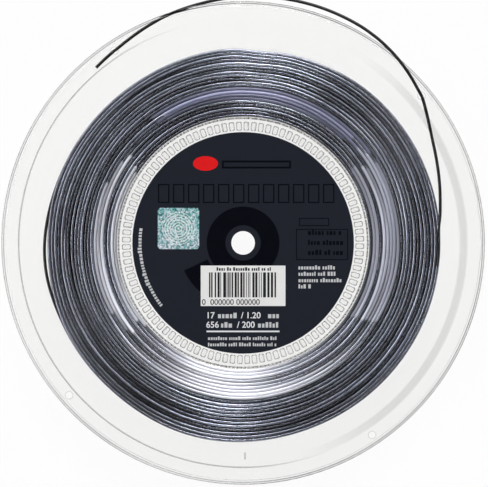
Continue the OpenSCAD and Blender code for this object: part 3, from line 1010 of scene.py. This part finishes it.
def print_label(white, pale, dark, red, black):
    """What the label and the wide sticker show: shaded forms, blocks for words, numbers."""
    rng = random.Random(PRINT_SEED)
    mark = Print(LABEL_TOP)
    turn = np.linspace(0, 2 * math.pi, DOT_SIDES, endpoint=False)
    x, y = px(DOT_X), py(DOT_Y)
    mark.outline([(x + DOT_W * math.cos(a), y + DOT_H * math.sin(a)) for a in turn])
    mark.make("label_dot", red)

    shade = Print(LABEL_TOP)
    shade.frame(*box_px(*TOP_BOX), TOP_LINE)
    for k in range(BLOCKS):
        x = px(FIRST_BLOCK_X + BLOCK_PITCH * k)
        shade.frame(x, py(BLOCK_BOTTOM), x + BLOCK_W, py(BLOCK_TOP), BLOCK_LINE)
    for stretch in SHADED:
        shade.arc(*stretch)
    for box in (SMALL_BOX, LARGE_BOX):
        shade.frame(*box_px(*box), BOX_LINE)
    blank_lines(shade, BOX_LINES, BOX_WORDS_H, rng)
    shade.make("label_shade", dark)

    ink = Print(LABEL_TOP)
    blank_lines(ink, RIGHT_LINES, RIGHT_WORDS_H, rng)
    blank_lines(ink, LOW_LINES, LOW_WORDS_H, rng)
    blank_lines(ink, UNITS, UNITS_H, rng, UNIT_LETTER_W)
    angle = ROUND_START
    while angle < ROUND_END:
        wide = rng.uniform(*ROUND_WIDTHS)
        top = ROUND_R + rng.choice(ROUND_HEIGHTS) * MM
        ink.arc(ROUND_R, top, angle, angle + wide, 3)
        angle += wide + ROUND_GAP
    ink.make("label_ink", pale)

    line = Print(LABEL_TOP)
    line.bar(*box_px(*RULE_BOX))
    line.make("label_line", white)
    for name, words, x, y in NUMBERS:
        place = px(x), py(y), NUMBER_H, NUMBER_BOLD, LABEL_TOP
        numerals(name, words, *place, white, "label")

    # The wide sticker's bars follow a seeded rule, and so stand for no real code
    bars = Print(WIDE_HIGH.z)
    low, high = WIDE_LOW.y + BARS_LOW, WIDE_HIGH.y - BARS_HIGH
    x, end = px(BARS_LEFT), px(BARS_RIGHT)
    while x < end:
        width = BAR_UNIT * rng.choice(BAR_WIDTHS)
        bars.bar(x, low, min(x + width, end), high)
        x += width + BAR_UNIT * rng.choice(BAR_GAPS)
    foot = WIDE_HIGH.y - 1.9 * MM
    blank_line(bars, px(STICKER_LEFT), px(STICKER_RIGHT), foot, STICKER_WORDS_H, rng)
    bars.make("sticker_bars", black)
    numerals(
        "sticker_numbers", "0  000000 000000", WIDE_LOW.x + 0.4 * MM, WIDE_LOW.y + 0.5 * MM,
        STICKER_NUMBER_H, STICKER_NUMBER_BOLD, WIDE_HIGH.z, black, "paper",
    )


# ---------------- studio
# The floor: half its width in metres, its height just under the reel, its paint, and the
# share of plain white light that it shows to the camera and in glass
FLOOR_HALF, FLOOR_Z, FLOOR_PAINT, FLOOR_WHITE = 6.0, -0.05 * MM, (0.9, 0.9, 0.9, 1.0), 0.94


def make_floor():
    """Pale floor that reads as the white ground and still keeps a soft shadow."""
    mesh = bpy.data.meshes.new("floor")
    half, z = FLOOR_HALF, FLOOR_Z
    mesh.from_pydata(
        [(-half, -half, z), (half, -half, z), (half, half, z), (-half, half, z)],
        [], [(0, 1, 2, 3)],
    )
    floor = new_object("floor", mesh)
    made, n = material("floor")
    path = n.add("ShaderNodeLightPath")
    seen = n.math("MAXIMUM", path.outputs["Is Camera Ray"], path.outputs["Is Glossy Ray"])
    seen = n.math("MAXIMUM", seen, path.outputs["Is Transmission Ray"])
    paint = n.add("ShaderNodeBsdfDiffuse", {"Color": FLOOR_PAINT})
    glow = n.add("ShaderNodeEmission", {"Color": (*WHITE, 1.0), "Strength": 1.0})
    mixed = n.add("ShaderNodeMixShader", {0: n.math("MULTIPLY", seen, FLOOR_WHITE)})
    n.put(mixed, 1, paint.outputs[0])
    n.put(mixed, 2, glow.outputs[0])
    n.surface(mixed.outputs[0])
    mesh.materials.append(made)


# Soft lamps: name, azimuth and elevation in degrees, width and height in metres, and
# radiance. All stand equally far from the reel, in metres
LAMPS = [("key", 267, 42, 0.30, 0.16, 4.2), ("back", 80, 42, 0.45, 0.20, 11.0)]
LAMP_DISTANCE = 1.2


def area_light(name, azimuth, elevation, width, height, radiance):
    """A soft rectangular lamp that faces the reel."""
    data = bpy.data.lights.new(name, "AREA")
    data.shape = "RECTANGLE"
    data.size, data.size_y = width, height
    data.energy = radiance * math.pi * width * height
    lamp = new_object(name, data)
    a, e = math.radians(azimuth), math.radians(elevation)
    place = Vector((math.cos(a) * math.cos(e), math.sin(a) * math.cos(e), math.sin(e)))
    lamp.location = place * LAMP_DISTANCE
    lamp.rotation_euler = place.to_track_quat("Z", "Y").to_euler()


# The dome's grey by the sine of the elevation
DOME = [
    (0.0, (0.13, 0.13, 0.133)), (0.45, (0.07, 0.07, 0.073)), (0.6, (0.05, 0.05, 0.052)),
    (0.85, (0.03, 0.03, 0.033)), (1.0, (0.03, 0.03, 0.033)),
]
# The band of softboxes in the dome: sines of its lower and upper elevation and their
# softness, the azimuth of its middle, its radiance there and on the far side, and how
# softly it goes from one to the other
BAND_LOW, BAND_HIGH, BAND_SOFT = 0.60, 0.74, 0.02
BAND_AT = math.radians(120)
BAND_NEAR, BAND_FAR, BAND_TURN = 6.5, 0.5, 0.2


def make_world():
    """White for the camera, also straight through clear plastic; for everything else a soft
    grey dome, dark overhead, with a band that is bright half way round and faint beyond."""
    world = bpy.data.worlds.new("studio")
    bpy.context.scene.world = world
    n = Nodes(world)
    place = n.add("ShaderNodeTexCoord").outputs["Generated"]
    way = n.add("ShaderNodeSeparateXYZ", {"Vector": place})
    up = way.outputs["Z"]
    dome = n.ramp(up, DOME)
    toward = n.math(
        "MULTIPLY_ADD", way.outputs["X"], math.cos(BAND_AT),
        n.math("MULTIPLY", way.outputs["Y"], math.sin(BAND_AT)),
    )
    near = n.step(toward, -BAND_TURN, BAND_TURN)
    radiance = n.math("MULTIPLY_ADD", near, BAND_NEAR - BAND_FAR, BAND_FAR)
    above_low = n.step(up, BAND_LOW - BAND_SOFT, BAND_LOW + BAND_SOFT)
    above_high = n.step(up, BAND_HIGH - BAND_SOFT, BAND_HIGH + BAND_SOFT)
    height = n.math("SUBTRACT", above_low, above_high)
    path = n.add("ShaderNodeLightPath")
    bounces = n.math("ADD", path.outputs["Glossy Depth"], path.outputs["Diffuse Depth"])
    through = n.math(
        "MULTIPLY", path.outputs["Is Transmission Ray"], n.math("LESS_THAN", bounces, 0.5)
    )
    seen = n.math("MAXIMUM", path.outputs["Is Camera Ray"], through)
    colour = n.mix(seen, dome, WHITE)
    sky = n.add("ShaderNodeBackground", {"Color": colour, "Strength": 1.0})
    unseen = n.math("SUBTRACT", 1.0, seen)
    strength = n.math("MULTIPLY", unseen, n.math("MULTIPLY", height, radiance))
    band = n.add("ShaderNodeBackground", {"Color": (*WHITE, 1.0), "Strength": strength})
    both = n.add("ShaderNodeAddShader", {0: sky.outputs[0], 1: band.outputs[0]})
    n.add("ShaderNodeOutputWorld", {"Surface": both.outputs[0]})


# ---------------- build
make_camera()
plastic = clear_plastic()
graphite = string_material(
    "string_graphite", (0.27, 0.283, 0.345), (0.375, 0.392, 0.462), roughness=0.18, metal=0.98
)
# A lighter, less metallic copy of the graphite, painted light for the outer layer's dimly lit side
side_graphite_painted_lighter = string_material(
    "string_side_painted_lighter", (0.30, 0.31, 0.36), (0.40, 0.41, 0.47), roughness=0.3, metal=0.4
)
# A near-black, matt copy of the graphite, painted shade for the loose end, which is the same
# string as the winding
end_graphite_painted_dark = string_material(
    "string_end_painted_dark", (0.010, 0.010, 0.012), (0.020, 0.020, 0.023), roughness=0.35, metal=0.0
)

loose_end(end_graphite_painted_dark)
moulding("front_half", ["front_flange", "front_hub", "front_collar"], plastic, FRONT_TOP, 1)
moulding("rear_half", ["rear_flange", "rear_hub", "rear_collar"], plastic, REAR_BOTTOM, -1)
side_turns("front_turns", FRONT_TOP - STRING_GAP, -1, graphite, FRONT_SEED)
side_turns("rear_turns", REAR_BOTTOM + STRING_GAP, 1, graphite, REAR_SEED)
outer_layer(side_graphite_painted_lighter, math.radians(LOOSE_END[0][0]))
filling(graphite)

# Each film's name, colour, roughness and specular level
charcoal = film("label_film", (0.0125, 0.0152, 0.0240), 0.5, 0.15, dust=True)
black_ink = film("black_ink", (0.006, 0.006, 0.008), 0.5, 0.3)
shade_ink = film("shade_ink", (0.0015, 0.0022, 0.0055), 0.45, 0.08)
white_ink = film("white_ink", (0.80, 0.81, 0.83), 0.5, 0.3)
pale_ink = film("pale_ink", (0.60, 0.61, 0.63), 0.5, 0.3)
red_ink = film("red_ink", (0.80, 0.008, 0.010), 0.5, 0.2)
paper = film("sticker_paper", (0.88, 0.88, 0.87), 0.55, 0.3)
for node, finish in (("label", charcoal), ("wide_sticker", paper), ("square_sticker", foil())):
    frame["nodes"][node].data.materials.clear()
    frame["nodes"][node].data.materials.append(finish)
print_label(white_ink, pale_ink, shade_ink, red_ink, black_ink)

make_floor()
make_world()
for lamp in LAMPS:
    area_light(*lamp)
bpy.context.scene.view_settings.view_transform = "Standard"
